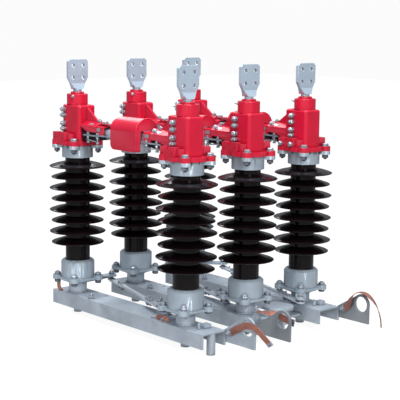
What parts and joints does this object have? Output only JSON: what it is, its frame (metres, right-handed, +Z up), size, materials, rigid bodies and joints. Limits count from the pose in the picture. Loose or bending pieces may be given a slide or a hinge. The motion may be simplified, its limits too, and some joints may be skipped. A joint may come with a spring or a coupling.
{
  "type": "outdoor disconnect switch",
  "caption": "Outdoor centre-break disconnect switch: post insulators on base channels turn crossed arms whose contacts meet under rain covers.",
  "frame": {"origin": "centre of the middle pole's base bolt pattern, on the top face of its channel", "axes": "+X along the poles, from the far columns to the near columns; +Y from the front pole to the back pole; +Z up"},
  "size_m": [1.0355, 0.7283, 0.8976],
  "materials": {
    "galvanised_steel": "hot-dip galvanised, satin",
    "cast_fittings": "galvanised casting, satin",
    "red_paint": "glossy crimson enamel",
    "brown_porcelain": "very dark brown glaze",
    "zinc_contact": "bright, brushed",
    "rod_steel": "zinc plated",
    "copper_strap": "bare copper, dull"
  },
  "bodies": {
    "frame": {"base_1": "galvanised_steel", "base_2": "galvanised_steel", "base_3": "galvanised_steel", "bearings_1": "galvanised_steel", "bearings_2": "galvanised_steel", "bearings_3": "galvanised_steel", "insulators_2": "brown_porcelain", "fittings_2": "cast_fittings", "housings_2": "red_paint", "contacts_2": "zinc_contact", "terminals_2": "zinc_contact", "rain_cover_2": "red_paint", "tie_rod_2": "rod_steel", "earth_plate_1": "galvanised_steel", "earth_plate_2": "galvanised_steel", "earth_plate_3": "galvanised_steel", "copper_strap_1": "copper_strap", "copper_strap_2": "copper_strap", "copper_strap_3": "copper_strap", "crank": "galvanised_steel", "foot_tube": "galvanised_steel"},
    "far_column_1": {"insulator_far_1": "brown_porcelain", "fittings_far_1": "cast_fittings", "housing_far_1": "red_paint", "jaw_1": "zinc_contact", "rain_cover_1": "red_paint"},
    "near_column_1": {"insulator_near_1": "brown_porcelain", "fittings_near_1": "cast_fittings", "housing_near_1": "red_paint", "blade_1": "zinc_contact"},
    "rod_1": {"tie_rod_1": "rod_steel"},
    "far_clamp_1": {"terminal_far_1": "zinc_contact"},
    "near_clamp_1": {"terminal_near_1": "zinc_contact"},
    "far_column_3": {"insulator_far_3": "brown_porcelain", "fittings_far_3": "cast_fittings", "housing_far_3": "red_paint", "jaw_3": "zinc_contact", "rain_cover_3": "red_paint"},
    "near_column_3": {"insulator_near_3": "brown_porcelain", "fittings_near_3": "cast_fittings", "housing_near_3": "red_paint", "blade_3": "zinc_contact"},
    "rod_3": {"tie_rod_3": "rod_steel"},
    "far_clamp_3": {"terminal_far_3": "zinc_contact"},
    "near_clamp_3": {"terminal_near_3": "zinc_contact"}
  },
  "joints": [
    {"name": "far_column_1_turn", "type": "hinge", "parent": "frame", "child": "far_column_1", "pos_m": [-0.3, -0.26, 0], "axis": [0, 0, -1], "range_deg": [0, 90]},
    {"name": "near_column_1_turn", "type": "hinge", "parent": "frame", "child": "near_column_1", "pos_m": [0.3, -0.26, 0], "axis": [0, 0, 1], "range_deg": [0, 90]},
    {"name": "rod_1_pivot", "type": "hinge", "parent": "far_column_1", "child": "rod_1", "pos_m": [-0.29009, -0.11835, 0.026], "axis": [0, 0, 1], "range_deg": [0, 90]},
    {"name": "far_clamp_1_turn", "type": "hinge", "parent": "far_column_1", "child": "far_clamp_1", "pos_m": [-0.3, -0.26, 0.7], "axis": [0, 0, 1], "range_deg": [0, 90]},
    {"name": "near_clamp_1_turn", "type": "hinge", "parent": "near_column_1", "child": "near_clamp_1", "pos_m": [0.3, -0.26, 0.7], "axis": [0, 0, -1], "range_deg": [0, 90]},
    {"name": "far_column_3_turn", "type": "hinge", "parent": "frame", "child": "far_column_3", "pos_m": [-0.3, 0.26, 0], "axis": [0, 0, 1], "range_deg": [0, 90]},
    {"name": "near_column_3_turn", "type": "hinge", "parent": "frame", "child": "near_column_3", "pos_m": [0.3, 0.26, 0], "axis": [0, 0, -1], "range_deg": [0, 90]},
    {"name": "rod_3_pivot", "type": "hinge", "parent": "far_column_3", "child": "rod_3", "pos_m": [-0.20808, 0.35192, 0.026], "axis": [0, 0, -1], "range_deg": [0, 90]},
    {"name": "far_clamp_3_turn", "type": "hinge", "parent": "far_column_3", "child": "far_clamp_3", "pos_m": [-0.3, 0.26, 0.7], "axis": [0, 0, -1], "range_deg": [0, 90]},
    {"name": "near_clamp_3_turn", "type": "hinge", "parent": "near_column_3", "child": "near_clamp_3", "pos_m": [0.3, 0.26, 0.7], "axis": [0, 0, 1], "range_deg": [0, 90]}
  ],
  "couplings": [
    {"joint": "near_column_1_turn", "follows": "far_column_1_turn", "ratio": 1},
    {"joint": "rod_1_pivot", "follows": "far_column_1_turn", "ratio": 1},
    {"joint": "far_clamp_1_turn", "follows": "far_column_1_turn", "ratio": 1},
    {"joint": "near_clamp_1_turn", "follows": "far_column_1_turn", "ratio": 1},
    {"joint": "near_column_3_turn", "follows": "far_column_3_turn", "ratio": 1},
    {"joint": "rod_3_pivot", "follows": "far_column_3_turn", "ratio": 1},
    {"joint": "far_clamp_3_turn", "follows": "far_column_3_turn", "ratio": 1},
    {"joint": "near_clamp_3_turn", "follows": "far_column_3_turn", "ratio": 1}
  ]
}
